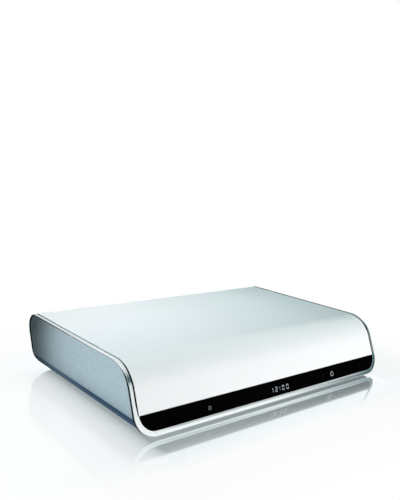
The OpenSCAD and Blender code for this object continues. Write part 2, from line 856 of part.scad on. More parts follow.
module ribbon_cable() {
    start = front_pt(link_s, -link_out - fit / 2);
    bend = [start[0] + (start[1] - link_z) / tan(slant), link_z];
    finish = [link_front - fit / 2, link_z];
    up = [sin(slant), cos(slant)] * ribbon_t / 2;
    mitre = [sin(slant / 2), cos(slant / 2)] * ribbon_t / 2 / cos(slant / 2);
    over = [0, ribbon_t / 2];
    color("lightgray") translate([link_x, 0, 0]) along_x(ribbon_w)
        polygon([start + up, bend + mitre, finish + over, finish - over, bend - mitre, start - up]);
}

module board(x0, y0, x1, posts) {
    color("darkgreen") difference() {
        block([x0, y0, board_z], [x1, board_rear, board_top]);
        for (p = posts)
            z_peg(p, board_z - clear, board_top + clear, board_screw_r + screw_fit);
    }
}

module main_board() {
    board(main_x0, main_y0, board_half, main_posts);
}

module psu_board() {
    board(psu_x0, psu_y0, psu_x1, psu_posts);
}

module board_screws() {
    color("gray") for (p = concat(main_posts, psu_posts)) {
        z_peg(p, board_top, board_top + board_head_h, board_head_r);
        z_peg(p, floor_z + root, board_top + root, board_screw_r);
    }
}

module decoder_chip() {
    color("black") translate([chip_x, chip_y, board_top])
        linear_extrude(chip_t) square(chip_w, center = true);
}

module heat_sink() {
    pitch = (sink_w - sink_fin_t) / (sink_fins - 1);
    color("gray") translate([chip_x - sink_w / 2, chip_y - sink_w / 2, board_top + chip_t]) {
        cube([sink_w, sink_w, sink_base]);
        for (i = [0 : sink_fins - 1])
            translate([i * pitch, 0, 0]) cube([sink_fin_t, sink_w, sink_base + sink_fin_h]);
    }
}

module capacitor(r, h) {
    bead = r / 8;
    crimp = h / 8;
    rotate_extrude() polygon([
        [0, 0], [r, 0], [r, crimp], [r - bead, crimp + bead], [r, crimp + 2 * bead],
        [r, h - bead], [r - bead, h], [0, h]
    ]);
}

module board_capacitors() {
    color("navy") for (c = caps)
        translate([c[0], c[1], board_top]) capacitor(cap_r, cap_h);
}

module bulk_capacitor() {
    color("navy") translate([psu_mid, bulk_y, board_top]) capacitor(bulk_r, bulk_h);
}

module transformer_core() {
    hole_h = core_h - 2 * core_leg;
    color("dimgray") translate([psu_mid, core_y, board_top]) difference() {
        translate([-core_w / 2, -core_d / 2, 0]) cube([core_w, core_d, core_h]);
        for (sx = [-1, 1])
            translate([sx * (core_leg + core_window / 2) - core_window / 2, -core_d, core_leg])
                cube([core_window, 2 * core_d, hole_h]);
    }
}

module transformer_winding() {
    half = core_leg + core_window - fit;
    deep = core_d / 2 + winding_over;
    low = board_top + core_leg + fit;
    high = board_top + core_h - core_leg - fit;
    color("gold") translate([psu_mid, core_y, low]) linear_extrude(high - low) difference() {
        rounded_box(-half, -deep, half, deep, core_leg, core_leg);
        square([2 * (core_leg + fit), core_d + 2 * fit], center = true);
    }
}

module psu_heat_sink() {
    last_fin = plate_w - plate_t;
    color("gray") translate([psu_mid - plate_w / 2, psu_y0 + standoff_inset, board_top])
        linear_extrude(plate_h) {
            square([plate_w, plate_t]);
            for (x = [0, last_fin / 2, last_fin])
                translate([x, 0]) square([plate_t, plate_fin]);
        }
}

module plug_block(x) {
    low = [x - plug_d / 2, plug_y - plug_w / 2, board_top];
    block(low, low + [plug_d, plug_w, plug_h]);
}

module lead_plugs() {
    color("ivory") for (sx = [-1, 1]) plug_block(lead_mid + sx * lead_r);
}

module power_lead() {
    wide = plug_w - 2 * lead_in;
    color("firebrick") translate([lead_mid, plug_y + wide / 2, board_top + plug_h + fit / 2])
        rotate([90, 0, 0]) rotate_extrude(angle = 180)
            translate([lead_r - lead_t / 2, 0]) square([lead_t, wide]);
}

module scart_outline(inset) {
    half = scart_w / 2 - inset;
    tall = scart_h / 2 - inset;
    polygon([
        [-half, -tall], [half - scart_cut, -tall], [half, -tall + scart_cut], [half, tall], [-half, tall]
    ]);
}

module scart_shells() {
    color("black") for (x = scarts) difference() {
        along_y(scart_back, panel_out + socket_proud) translate([x, scart_z]) scart_outline(0);
        along_y(scart_back + scart_wall, panel_out + socket_proud + clear)
            translate([x, scart_z]) scart_outline(scart_wall);
    }
}

module scart_inserts() {
    inset = scart_wall + scart_channel;
    pitch = (scart_w - 2 * inset) / (slot_count + 1);
    color("dimgray") for (x = scarts) difference() {
        along_y(scart_back + scart_wall, panel_out) translate([x, scart_z]) scart_outline(inset);
        for (i = [0 : slot_count - 1]) for (row = [-1, 1])
            along_y(panel_out - slot_d, panel_out + clear)
                translate([x + (i - (slot_count - 1) / 2 + row / 4) * pitch, scart_z + row * slot_row])
                    square([slot_w, slot_h], center = true);
    }
}

module audio_jack_body() {
    color("darkorange") difference() {
        union() {
            block([jack_x - jack_w / 2, panel_in - fit - jack_w, board_top],
                [jack_x + jack_w / 2, panel_in - fit, board_top + jack_w]);
            y_peg(jack_x, jack_z, panel_in - fit - root, jack_end - fit, jack_r - jack_wall - fit);
        }
        y_peg(jack_x, jack_z, panel_in - fit, jack_end + clear, jack_hole_r);
    }
}

module audio_jack_sleeve() {
    color("silver") difference() {
        y_peg(jack_x, jack_z, panel_in - fit, jack_end, jack_r);
        y_peg(jack_x, jack_z, panel_in - clear, jack_end + clear, jack_r - jack_wall);
    }
}

module inlet_outline() {
    for (sx = [-1, 1]) translate([sx * inlet_pitch / 2, 0]) circle(r = inlet_lobe_r);
    square([inlet_pitch, inlet_waist], center = true);
}

module mains_inlet() {
    color("black") difference() {
        along_y(inlet_back, inlet_face) translate([psu_mid, inlet_z])
            square([inlet_w, inlet_h], center = true);
        along_y(inlet_floor, inlet_face + clear) translate([psu_mid, inlet_z]) inlet_outline();
        for (x = inlet_xs)
            y_peg(x, inlet_z, inlet_back - clear, inlet_face, inlet_pin_r);
    }
}

module inlet_pins() {
    color("silver") for (x = inlet_xs)
        y_peg(x, inlet_z, inlet_back, inlet_floor + inlet_pin_len, inlet_pin_r);
}

// Tin can, open towards the board
module tuner_can() {
    low = [tuner_x - tuner_w / 2, tuner_back - tuner_d, board_top];
    high = [tuner_x + tuner_w / 2, tuner_back, board_top + tuner_h];
    skin = [tuner_t, tuner_t, 0];
    color("silver") difference() {
        block(low, high);
        block(low + skin - [0, 0, clear], high - skin - [0, 0, tuner_t]);
    }
}

module aerial_in_shell() {
    color("silver") difference() {
        y_peg(aerial_in_x, aerial_z, tuner_back, aerial_end, aerial_r);
        y_peg(aerial_in_x, aerial_z, tuner_back - clear, aerial_end + clear, aerial_bore_r);
    }
}

module aerial_in_contact() {
    color("ivory") difference() {
        union() {
            y_peg(aerial_in_x, aerial_z, tuner_back, tuner_back + aerial_base, aerial_bore_r - fit / 2);
            y_peg(aerial_in_x, aerial_z, tuner_back + root, aerial_end - root, contact_r);
        }
        y_peg(aerial_in_x, aerial_z, tuner_back + aerial_base, aerial_end + clear, contact_bore_r);
    }
}

module aerial_out_shell() {
    color("silver") difference() {
        union() {
            y_peg(aerial_out_x, aerial_z, tuner_back, panel_out + 2 * socket_proud, aerial_r);
            y_peg(aerial_out_x, aerial_z, tuner_back, aerial_end, loop_r);
        }
        y_peg(aerial_out_x, aerial_z, tuner_back - clear, aerial_end + clear, loop_r - loop_wall);
    }
}

module aerial_out_contact() {
    color("ivory") {
        y_peg(aerial_out_x, aerial_z, tuner_back, tuner_back + aerial_base, loop_r - loop_wall - fit / 2);
        y_peg(aerial_out_x, aerial_z, tuner_back + root, aerial_end + root, loop_pin_r);
    }
}

module panel_outline() {
    narrow = rim_x - ledge_w - fit;
    shoulder = body_h - trim_depth - fit;
    intersection() {
        tub_section(wall_t + fit);
        union() {
            translate([-body_w, 0]) square([2 * body_w, shoulder]);
            translate([-narrow, 0]) square([2 * narrow, panel_top]);
        }
    }
}

module panel_cutouts() {
    room = 2 * [cutout_gap, cutout_gap];
    for (x = scarts) translate([x, scart_z]) square([scart_w, scart_h] + room, center = true);
    translate([psu_mid, inlet_z]) square([inlet_w, inlet_h] + room, center = true);
    translate([jack_x, jack_z]) circle(r = jack_r + cutout_gap);
    for (x = [aerial_in_x, aerial_out_x]) translate([x, aerial_z]) circle(r = aerial_r + cutout_gap);
    for (i = [0 : panel_vents - 1])
        translate([(vcr_x + tv_x) / 2 + (i - (panel_vents - 1) / 2) * panel_vent_pitch,
                   (scart_z + scart_h / 2 + panel_top) / 2])
            square([vent_w, panel_vent_h], center = true);
}

module rear_panel() {
    color("dimgray") along_y(panel_in, panel_out) difference() {
        panel_outline();
        panel_cutouts();
    }
}

module foot(p) {
    color("dimgray") z_peg(p, 0, tub_z + foot_recess, foot_r);
}

module case_screws() {
    seat_z = well_top - well_seat;
    color("gray") for (p = bosses) {
        z_peg(p, seat_z - case_head_h, seat_z, case_head_r);
        z_peg(p, seat_z - root, well_top + case_screw_in, case_screw_r);
    }
}

module foot_front_left() {
    foot(feet[0]);
}

module foot_rear_left() {
    foot(feet[1]);
}

module foot_front_right() {
    foot(feet[2]);
}

module foot_rear_right() {
    foot(feet[3]);
}

top_cover();
trim_frame();
base_tub();
front_strip();
front_carrier();
power_key();
switch_plunger();
power_switch();
front_board();
ir_sensor();
display_module();
front_screws();
link_sockets();
ribbon_cable();
main_board();
psu_board();
board_screws();
decoder_chip();
heat_sink();
board_capacitors();
bulk_capacitor();
transformer_core();
transformer_winding();
psu_heat_sink();
lead_plugs();
power_lead();
scart_shells();
scart_inserts();
audio_jack_body();
audio_jack_sleeve();
mains_inlet();
inlet_pins();
tuner_can();
aerial_in_shell();
aerial_in_contact();
aerial_out_shell();
aerial_out_contact();
rear_panel();
case_screws();
foot_front_left();
foot_rear_left();
foot_front_right();
foot_rear_right();
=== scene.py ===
import json
import math

import bmesh
import bpy
from mathutils import Matrix, Vector


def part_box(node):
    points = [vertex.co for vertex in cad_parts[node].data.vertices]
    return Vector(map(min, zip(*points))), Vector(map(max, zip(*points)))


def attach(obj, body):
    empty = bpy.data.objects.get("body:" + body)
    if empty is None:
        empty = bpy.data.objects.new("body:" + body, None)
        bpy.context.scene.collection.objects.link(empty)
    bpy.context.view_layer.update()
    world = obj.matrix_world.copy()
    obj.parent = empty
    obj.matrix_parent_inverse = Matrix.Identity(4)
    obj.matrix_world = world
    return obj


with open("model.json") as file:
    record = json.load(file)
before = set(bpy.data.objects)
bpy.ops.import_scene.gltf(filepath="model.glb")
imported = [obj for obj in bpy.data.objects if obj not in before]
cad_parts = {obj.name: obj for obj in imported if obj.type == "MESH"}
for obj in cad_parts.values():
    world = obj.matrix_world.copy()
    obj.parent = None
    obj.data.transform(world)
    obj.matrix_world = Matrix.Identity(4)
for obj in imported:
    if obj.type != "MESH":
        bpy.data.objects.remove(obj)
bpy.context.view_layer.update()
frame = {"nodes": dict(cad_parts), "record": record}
nodes = frame["nodes"]
scene = bpy.context.scene

MM = 0.001


# Camera, fitted to the object's edges in the photograph

CAMERA_PLACE = (-283.41 * MM, -332.81 * MM, 155.98 * MM)
CAMERA_YAW = math.radians(39.0378)
CAMERA_PITCH = math.radians(8.5146)
CAMERA_ROLL = math.radians(2.9779)
CAMERA_CLIP = (0.01, 50)
SENSOR_MM = 36
IMAGE_LONG_PX = 500
FOCAL_PX = 603.68


def make_camera():
    forward = Vector((
        math.sin(CAMERA_YAW) * math.cos(CAMERA_PITCH),
        math.cos(CAMERA_YAW) * math.cos(CAMERA_PITCH),
        -math.sin(CAMERA_PITCH),
    ))
    level = Vector((math.cos(CAMERA_YAW), -math.sin(CAMERA_YAW), 0))
    upright = level.cross(forward)
    right = level * math.cos(CAMERA_ROLL) + upright * math.sin(CAMERA_ROLL)
    up = upright * math.cos(CAMERA_ROLL) - level * math.sin(CAMERA_ROLL)
    data = bpy.data.cameras.new("camera")
    data.sensor_width = SENSOR_MM
    data.lens = FOCAL_PX / IMAGE_LONG_PX * SENSOR_MM
    data.clip_start, data.clip_end = CAMERA_CLIP
    camera = bpy.data.objects.new("camera", data)
    scene.collection.objects.link(camera)
    turn = Matrix((right, up, -forward)).transposed().to_4x4()
    camera.matrix_world = Matrix.Translation(CAMERA_PLACE) @ turn
    scene.camera = camera


make_camera()


# Shader nodes

def new_material(name):
    material = bpy.data.materials.new(name)
    material.use_nodes = True
    tree = material.node_tree
    tree.nodes.clear()
    output = tree.nodes.new("ShaderNodeOutputMaterial")
    return material, tree, output


def feed(tree, socket, value):
    """Links a socket to another one, or sets it to a colour or a number."""
    if isinstance(value, bpy.types.NodeSocket):
        tree.links.new(value, socket)
    elif isinstance(value, tuple):
        socket.default_value = (*value, 1)
    else:
        socket.default_value = value


def math_step(tree, operation, *values):
    """One sum of sockets and numbers."""
    step = tree.nodes.new("ShaderNodeMath")
    step.operation = operation
    for socket, value in zip(step.inputs, values):
        feed(tree, socket, value)
    return step.outputs["Value"]


def map_range(tree, value, start, stop, at_start, at_stop, smooth=False):
    """Changes from at_start to at_stop while the value goes from start to stop."""
    span = tree.nodes.new("ShaderNodeMapRange")
    if smooth:
        span.interpolation_type = "SMOOTHSTEP"
    for name, given in (("Value", value), ("From Min", start), ("From Max", stop), ("To Min", at_start),
                        ("To Max", at_stop)):
        feed(tree, span.inputs[name], given)
    return span.outputs["Result"]


def fade(tree, value, start, stop, at_start=0, at_stop=1):
    return map_range(tree, value, start, stop, at_start, at_stop, smooth=True)


NOISE_MIDDLE = (0.3, 0.7)
NOISE_DETAIL = 3


def spread(tree, factor, low, high):
    """Maps the middle of a noise to a range."""
    return map_range(tree, factor, *NOISE_MIDDLE, low, high)


def noise(tree, scale, stretch=None):
    """Noise in the object's own metres, optionally stretched along an axis."""
    place = tree.nodes.new("ShaderNodeTexCoord")
    vector = place.outputs["Object"]
    if stretch:
        mapping = tree.nodes.new("ShaderNodeMapping")
        mapping.inputs["Scale"].default_value = stretch
        tree.links.new(vector, mapping.inputs["Vector"])
        vector = mapping.outputs["Vector"]
    texture = tree.nodes.new("ShaderNodeTexNoise")
    texture.inputs["Scale"].default_value = scale
    texture.inputs["Detail"].default_value = NOISE_DETAIL
    tree.links.new(vector, texture.inputs["Vector"])
    return texture.outputs["Fac"]


def mix_colours(tree, factor, low, high):
    """From one colour to another as the factor goes from 0 to 1. Each is a plain colour or a socket."""
    mix = tree.nodes.new("ShaderNodeMix")
    mix.data_type = "RGBA"
    for name, value in (("Factor", factor), ("A", low), ("B", high)):
        feed(tree, mix.inputs[name], value)
    return mix.outputs["Result"]


def mix_shaders(tree, factor, first, second):
    mix = tree.nodes.new("ShaderNodeMixShader")
    for socket, value in zip(mix.inputs, (factor, first, second)):
        feed(tree, socket, value)
    return mix.outputs["Shader"]


def axes(tree, output):
    """X, Y and Z of the object's own texture coordinate or normal."""
    place = tree.nodes.new("ShaderNodeTexCoord")
    split = tree.nodes.new("ShaderNodeSeparateXYZ")
    tree.links.new(place.outputs[output], split.inputs["Vector"])
    return split.outputs


# Painted shade and light in the colour of a piece: limits of a face's normal without a unit, and of its place
# in metres

UNDER_SHADE_ENDS = (-0.13, -0.28)
FLOOR_LIT = (-0.32, -0.52)
UNDER_REAR = (-0.03, 0.06)
LOW_SHADE_Z = (0.024, 0.006)
LOW_SHADE_SHARE = 0.36


def paint_shade_below(tree, colour, painted_under, lowest):
    """Painted shade: colour on upright faces, painted darker low down, changing to painted_under and then to
    lowest as the face turns down.

    Each of the two is a pair of colours, for the front and for the rear: painted_under is painted shade, and
    lowest a lighter painted floor-bounce light.
    """
    facing = axes(tree, "Normal")["Z"]
    place = axes(tree, "Object")
    rear = fade(tree, place["Y"], *UNDER_REAR)
    low = fade(tree, place["Z"], *LOW_SHADE_Z, 0, LOW_SHADE_SHARE)
    below_shade = math_step(tree, "MAXIMUM", low, fade(tree, facing, *UNDER_SHADE_ENDS))
    colour = mix_colours(tree, below_shade, colour, mix_colours(tree, rear, *painted_under))
    return mix_colours(tree, fade(tree, facing, *FLOOR_LIT), colour, mix_colours(tree, rear, *lowest))


# Painted light and shade by facing and place: limits of the normal without a unit, and of the place in metres
SIDE_FACING = (0.6, 0.9)
SIDE_REAR = (-0.03, 0.06)
SIDE_LOW = (0.039, 0.034)
LEVEL = (0.42, 0.7)


def shade_sides(tree, colour, level, dark, turned=LEVEL):
    """Painted light and shade: changes to level on faces that turn up, and to the painted shade dark on the
    sides, towards the rear and low down.
    """
    facing = axes(tree, "Normal")
    place = axes(tree, "Object")
    colour = mix_colours(tree, fade(tree, facing["Z"], *turned), colour, level)
    sideways = fade(tree, math_step(tree, "ABSOLUTE", facing["X"]), *SIDE_FACING)
    away = math_step(tree, "MAXIMUM", fade(tree, place["Y"], *SIDE_REAR), fade(tree, place["Z"], *SIDE_LOW))
    return mix_colours(tree, math_step(tree, "MULTIPLY", sideways, away), colour, dark)


# Painted shade in narrow grooves: reach in metres, and limits of the open share
CREVICE_REACH = 0.6 * MM
CREVICE_OPEN = (0.42, 0.7)
CREVICE_SAMPLES = 16


def shade_crevices(tree, colour, bottom):
    """Painted shade: colour on open faces, darkening to the colour bottom in narrow grooves, where less light
    reaches.
    """
    open_share = tree.nodes.new("ShaderNodeAmbientOcclusion")
    open_share.samples = CREVICE_SAMPLES
    open_share.inputs["Distance"].default_value = CREVICE_REACH
    factor = map_range(tree, open_share.outputs["AO"], *CREVICE_OPEN, 0, 1)
    return mix_colours(tree, factor, bottom, colour)


# Finishes

GRAIN_RELIEF = 0.1 * MM
WEAR_SCALE = 40


def finish_material(name, low, high, rough, grain, grain_bump=0, metallic=0, specular=0.5, stretch=None,
                    painted_under=None, crevice=None, side=None, along=()):
    """Moulded or metal finish: fine grain in the colour, broad variation in the gloss, grain in the relief.

    Where painted_under is given, shade is painted in its colours on faces that turn down, with a lighter
    painted floor-bounce light lowest. Where side is given, light and shade are painted in its two colours on
    the top and the sides, and where crevice is given, shade is painted in that colour in narrow grooves. Each
    row of along has two places along the width, and the colour from the second one on; the bead's rows paint
    light at its left end and shade at its right end.
    """
    material, tree, output = new_material(name)
    shader = tree.nodes.new("ShaderNodeBsdfPrincipled")
    shader.inputs["Metallic"].default_value = metallic
    shader.inputs["Specular IOR Level"].default_value = specular
    fine = noise(tree, grain, stretch)
    colour = mix_colours(tree, spread(tree, fine, 0, 1), low, high)
    if painted_under:
        colour = paint_shade_below(tree, colour, *painted_under)
    if side:
        colour = shade_sides(tree, colour, *side)
    for start, stop, other in along:
        colour = mix_colours(tree, fade(tree, axes(tree, "Object")["X"], start, stop), colour, other)
    if crevice:
        colour = shade_crevices(tree, colour, crevice)
    tree.links.new(colour, shader.inputs["Base Color"])
    tree.links.new(spread(tree, noise(tree, WEAR_SCALE), *rough), shader.inputs["Roughness"])
    if grain_bump:
        bump = tree.nodes.new("ShaderNodeBump")
        bump.inputs["Strength"].default_value = grain_bump
        bump.inputs["Distance"].default_value = GRAIN_RELIEF
        tree.links.new(fine, bump.inputs["Height"])
        tree.links.new(bump.outputs["Normal"], shader.inputs["Normal"])
    tree.links.new(shader.outputs["BSDF"], output.inputs["Surface"])
    return material


# Painted shade of the tub at the front and at the rear where its sides turn under, and a lighter painted
# floor-bounce light on its floor
TUB_UNDER_SHADE = ((0.038, 0.07, 0.108), (0.145, 0.212, 0.257))
TUB_LOWEST_BOUNCE = ((0.085, 0.125, 0.18), (0.15, 0.2, 0.27))
FINISHES = {
    "cover_white": dict(low=(0.77, 0.82, 0.825), high=(0.82, 0.87, 0.875), rough=(0.34, 0.42), grain=2600,
                        grain_bump=0.03, specular=0.4),
    # The rim's chrome has painted shade in narrow grooves, a darker painted tone on faces that turn up, and
    # painted shade on its sides towards the rear and low down
    "trim_chrome": dict(low=(0.9, 0.93, 0.935), high=(0.94, 0.97, 0.975), rough=(0.1, 0.16), grain=900,
                        metallic=1, crevice=(0.04, 0.055, 0.06),
                        side=((0.75, 0.81, 0.815), (0.012, 0.022, 0.032))),
    # The tub has painted shade low on its walls and where its sides turn under, and painted floor-bounce
    # light on its underside
    "tub_silver": dict(low=(0.36, 0.42, 0.44), high=(0.48, 0.54, 0.56), rough=(0.45, 0.55), grain=1400,
                       grain_bump=0.12, specular=0, painted_under=(TUB_UNDER_SHADE, TUB_LOWEST_BOUNCE)),
    "window_black": dict(low=(0.0004, 0.0004, 0.0004), high=(0.001, 0.001, 0.001), rough=(0.08, 0.14),
                         grain=120, specular=0.004),
    "dark_plastic": dict(low=(0.02, 0.02, 0.022), high=(0.035, 0.035, 0.038), rough=(0.45, 0.6), grain=2500,
                         grain_bump=0.15),
    "ivory_plastic": dict(low=(0.72, 0.69, 0.6), high=(0.8, 0.77, 0.68), rough=(0.4, 0.55), grain=1500),
    "board_green": dict(low=(0.02, 0.14, 0.06), high=(0.04, 0.2, 0.09), rough=(0.3, 0.45), grain=500),
    "screw_steel": dict(low=(0.45, 0.45, 0.46), high=(0.6, 0.6, 0.6), rough=(0.25, 0.4), grain=1200,
                        metallic=1),
    "lead_grey": dict(low=(0.45, 0.45, 0.46), high=(0.6, 0.6, 0.6), rough=(0.45, 0.6), grain=800,
                      stretch=(1, 0.02, 0.02)),
    "sink_aluminium": dict(low=(0.55, 0.56, 0.57), high=(0.68, 0.69, 0.7), rough=(0.3, 0.45), grain=900,
                           metallic=1, stretch=(1, 0.05, 1)),
    "core_ferrite": dict(low=(0.06, 0.06, 0.065), high=(0.1, 0.1, 0.105), rough=(0.5, 0.7), grain=2200,
                         grain_bump=0.2),
    "winding_copper": dict(low=(0.6, 0.42, 0.06), high=(0.75, 0.56, 0.12), rough=(0.3, 0.45), grain=1500,
                           stretch=(0.05, 0.05, 1)),
    "jack_orange": dict(low=(0.75, 0.2, 0.015), high=(0.85, 0.26, 0.025), rough=(0.35, 0.5), grain=1500),
    "socket_nickel": dict(low=(0.62, 0.61, 0.57), high=(0.74, 0.73, 0.69), rough=(0.2, 0.32), grain=700,
                          metallic=1),
    "foot_rubber": dict(low=(0.02, 0.02, 0.022), high=(0.04, 0.04, 0.042), rough=(0.65, 0.8), grain=1800,
                        grain_bump=0.2),
    "legend_print": dict(low=(0.36, 0.41, 0.46), high=(0.44, 0.49, 0.54), rough=(0.35, 0.5), grain=4000),
    "dim_print": dict(low=(0.14, 0.17, 0.19), high=(0.2, 0.23, 0.25), rough=(0.35, 0.5), grain=4000),
    # Painted highlight on the key's edges
    "key_edge": dict(low=(0.004, 0.006, 0.008), high=(0.01, 0.014, 0.017), rough=(0.3, 0.4), grain=900,
                     specular=0.05),
    # Dark pieces that paint the shade in the gaps beside the rim; the lit one has painted light on faces that
    # turn up
    "gap_shade_black": dict(low=(0.004, 0.007, 0.009), high=(0.008, 0.012, 0.015), rough=(0.6, 0.75), grain=2500,
                       specular=0),
    "gap_shade_lit": dict(low=(0.004, 0.007, 0.009), high=(0.008, 0.012, 0.015), rough=(0.6, 0.75), grain=2500,
                     specular=0, side=((0.26, 0.35, 0.36), (0.006, 0.01, 0.012), (0.86, 1))),
    # Grey of the bead: painted shade and reflection of the rim's step, with painted light towards its left
    # end and painted shade towards its right end
    "bead_grey": dict(low=(0.42, 0.47, 0.48), high=(0.48, 0.53, 0.54), rough=(0.3, 0.4), grain=1800,
                      specular=0.2,
                      along=((-0.08, -0.1, (0.78, 0.84, 0.85)), (0.075, 0.1, (0.13, 0.2, 0.21)))),
}
MATERIALS = {name: finish_material(name, **finish) for name, finish in FINISHES.items()}
for row in frame["record"]["subparts"]:
    node = nodes[row["node"]]
    node.material_slots[0].material = MATERIALS[row["material_slot"]]


# Outline of the case: front and rear lean the same way, with a bend from each to the flat top

SLANT = math.radians(21)
FRONT_Y = -74 * MM
REAR_Y = 74 * MM
STAND = 1.6 * MM
HALF_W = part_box("trim_frame")[1].x
BODY_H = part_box("top_cover")[1].z
FRONT_R = 21 * MM
REAR_R = 10 * MM
CORNER_R = 13.5 * MM
ARC_STEPS = 24
CORNER_STEP = 6
FRONT_ARC_Y = FRONT_Y + (BODY_H - FRONT_R - STAND) * math.tan(SLANT) + FRONT_R / math.cos(SLANT)
REAR_ARC_Y = REAR_Y - REAR_R
REAR_CORNER_Y = REAR_ARC_Y + REAR_R * math.tan((math.pi / 2 + SLANT) / 2)
SIDEWAYS = Vector((1, 0, 0))
UP_FRONT = Vector((0, math.sin(SLANT), math.cos(SLANT)))
FRONT_NORMAL = Vector((0, -math.cos(SLANT), math.sin(SLANT)))
REAR_NORMAL = -FRONT_NORMAL


def front_point(x, s):
    """Point of the front face, s up it from its lower edge."""
    return Vector((x, FRONT_Y, STAND)) + UP_FRONT * s


def rear_point(x, z):
    """Point of the rear face at height z."""
    return Vector((x, REAR_CORNER_Y - (BODY_H - z) * math.tan(SLANT), z))


def bend(x, middle_y, radius, start, stop):
    """Points round a bend beside the top as (point, outwards, normal), from one angle to another."""
    path = []
    for i in range(ARC_STEPS + 1):
        angle = start + (stop - start) * i / ARC_STEPS
        normal = Vector((0, math.cos(angle), math.sin(angle)))
        path.append((Vector((x, middle_y, BODY_H - radius)) + normal * radius, SIDEWAYS, normal))
    return path


TAPER = 6 * MM


def side_path(front_s, rear_z, corner=0):
    """Outline of the case as (point, outwards, normal), on the right side.

    It starts front_s up the front face, with corner degrees of the lower corner before that. It runs over the
    top to height rear_z at the rear, on the bend or on the face below it. Its points lie CORNER_R inside the
    side.
    """
    path = []
    inset = HALF_W - CORNER_R
    for i in range(corner // CORNER_STEP, 0, -1):
        angle = math.radians(i * CORNER_STEP)
        outwards = SIDEWAYS * math.cos(angle) - UP_FRONT * math.sin(angle)
        path.append((front_point(inset, CORNER_R), outwards, FRONT_NORMAL))
    for s in (front_s, front_s + TAPER):
        path.append((front_point(inset, s), SIDEWAYS, FRONT_NORMAL))
    lowest = max(1 - (BODY_H - rear_z) / REAR_R, REAR_NORMAL.z)
    path += bend(inset, FRONT_ARC_Y, FRONT_R, math.pi - SLANT, math.pi / 2)
    path += bend(inset, REAR_ARC_Y, REAR_R, math.pi / 2, math.asin(lowest))
    if lowest == REAR_NORMAL.z:
        path.append((rear_point(inset, rear_z), SIDEWAYS, REAR_NORMAL))
    return path


def bottom_path():
    """Lower edge of the front with both its corners as (point, outwards, normal), from left to right."""
    path = []
    for angle in range(0, 181, CORNER_STEP):
        turn = math.radians(angle)
        x = (CORNER_R - HALF_W) if angle <= 90 else (HALF_W - CORNER_R)
        outwards = -SIDEWAYS * math.cos(turn) - UP_FRONT * math.sin(turn)
        path.append((front_point(x, CORNER_R), outwards, FRONT_NORMAL))
        if angle == 90:
            path.append((front_point(-x, CORNER_R), outwards, FRONT_NORMAL))
    return path


# Making of pieces

def add_piece(name, bm, finish, body, matrix=Matrix.Identity(4)):
    bmesh.ops.recalc_face_normals(bm, faces=bm.faces)
    mesh = bpy.data.meshes.new(name)
    bm.to_mesh(mesh)
    bm.free()
    mesh.materials.append(MATERIALS[finish])
    piece = bpy.data.objects.new(name, mesh)
    scene.collection.objects.link(piece)
    piece.matrix_world = matrix
    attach(piece, body)


def bridge(bm, first, second):
    """Faces between two rings of as many points."""
    for i in range(len(first)):
        j = (i + 1) % len(first)
        bm.faces.new((first[i], first[j], second[j], second[i]))


PRINT_SINK = 0.02 * MM
PRINT_H = 0.05 * MM


def front_print(name, outlines, x, s, finish, body):
    """Print on the front face round the place (x, s): flat outlines, each a closed list of (x, s)."""
    bm = bmesh.new()
    for points in outlines:
        bottom = [bm.verts.new((u, v, 0)) for u, v in points]
        top = [bm.verts.new((u, v, PRINT_SINK + PRINT_H)) for u, v in points]
        bm.faces.new(bottom[::-1])
        bm.faces.new(top)
        bridge(bm, bottom, top)
    turn = Matrix((SIDEWAYS, UP_FRONT, FRONT_NORMAL)).transposed().to_4x4()
    place = Matrix.Translation(front_point(x, s) - FRONT_NORMAL * PRINT_SINK)
    add_piece(name, bm, finish, body, place @ turn)


LEFT = -1
RIGHT = 1


def swept(name, path, upright, level, side, finish, first=None):
    """Sweeps a section of (x, depth) points along a path of the outline, mirrored where side is LEFT.

    The section changes from upright, on the front and rear, to level, on the top. It may start from first.
    """
    bm = bmesh.new()
    rings = []
    for place, outwards, normal in path:
        share = min(max((normal.z - FRONT_NORMAL.z) / (1 - FRONT_NORMAL.z), 0), 1) ** 2
        start = first if first and not rings else upright
        ring = []
        for (x0, depth0), (x1, depth1) in zip(start, level):
            x = x0 + (x1 - x0) * share
            depth = depth0 + (depth1 - depth0) * share
            point = place + outwards * (x - HALF_W + CORNER_R) - normal * depth
            ring.append(bm.verts.new((side * point.x, point.y, point.z)))
        rings.append(ring)
    for ring, following in zip(rings, rings[1:]):
        bridge(bm, ring, following)
    bm.faces.new(rings[0][::-1])
    bm.faces.new(rings[-1])
    add_piece(name, bm, finish, "receiver")


# Marks on the front window

def middle_x(node):
    low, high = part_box(node)
    return (low.x + high.x) / 2


def arc_band(radius, width, start, stop, steps):
    """Part of a ring of that line width, between two angles in degrees."""
    outer, inner = [], []
    for i in range(steps + 1):
        angle = math.radians(start + (stop - start) * i / steps)
        outer.append(((radius + width / 2) * math.cos(angle), (radius + width / 2) * math.sin(angle)))
        inner.append(((radius - width / 2) * math.cos(angle), (radius - width / 2) * math.sin(angle)))
    return outer + inner[::-1]


def bar(x0, y0, x1, y1):
    return [(x0, y0), (x1, y0), (x1, y1), (x0, y1)]


KEY_X = middle_x("power_key")
KEY_MARK_S = 7.5 * MM
SYMBOL_OFF = -0.9 * MM
SYMBOL_R = 1.45 * MM
SYMBOL_LINE = 0.38 * MM
SYMBOL_GAP = 30
SYMBOL_STEPS = 40
SYMBOL_BAR = (0.6 * MM, 2.15 * MM)
symbol = [
    arc_band(SYMBOL_R, SYMBOL_LINE, 90 + SYMBOL_GAP, 450 - SYMBOL_GAP, SYMBOL_STEPS),
    bar(-SYMBOL_LINE / 2, SYMBOL_BAR[0], SYMBOL_LINE / 2, SYMBOL_BAR[1]),
]
front_print("power_symbol", symbol, KEY_X + SYMBOL_OFF, KEY_MARK_S, "legend_print", "key")

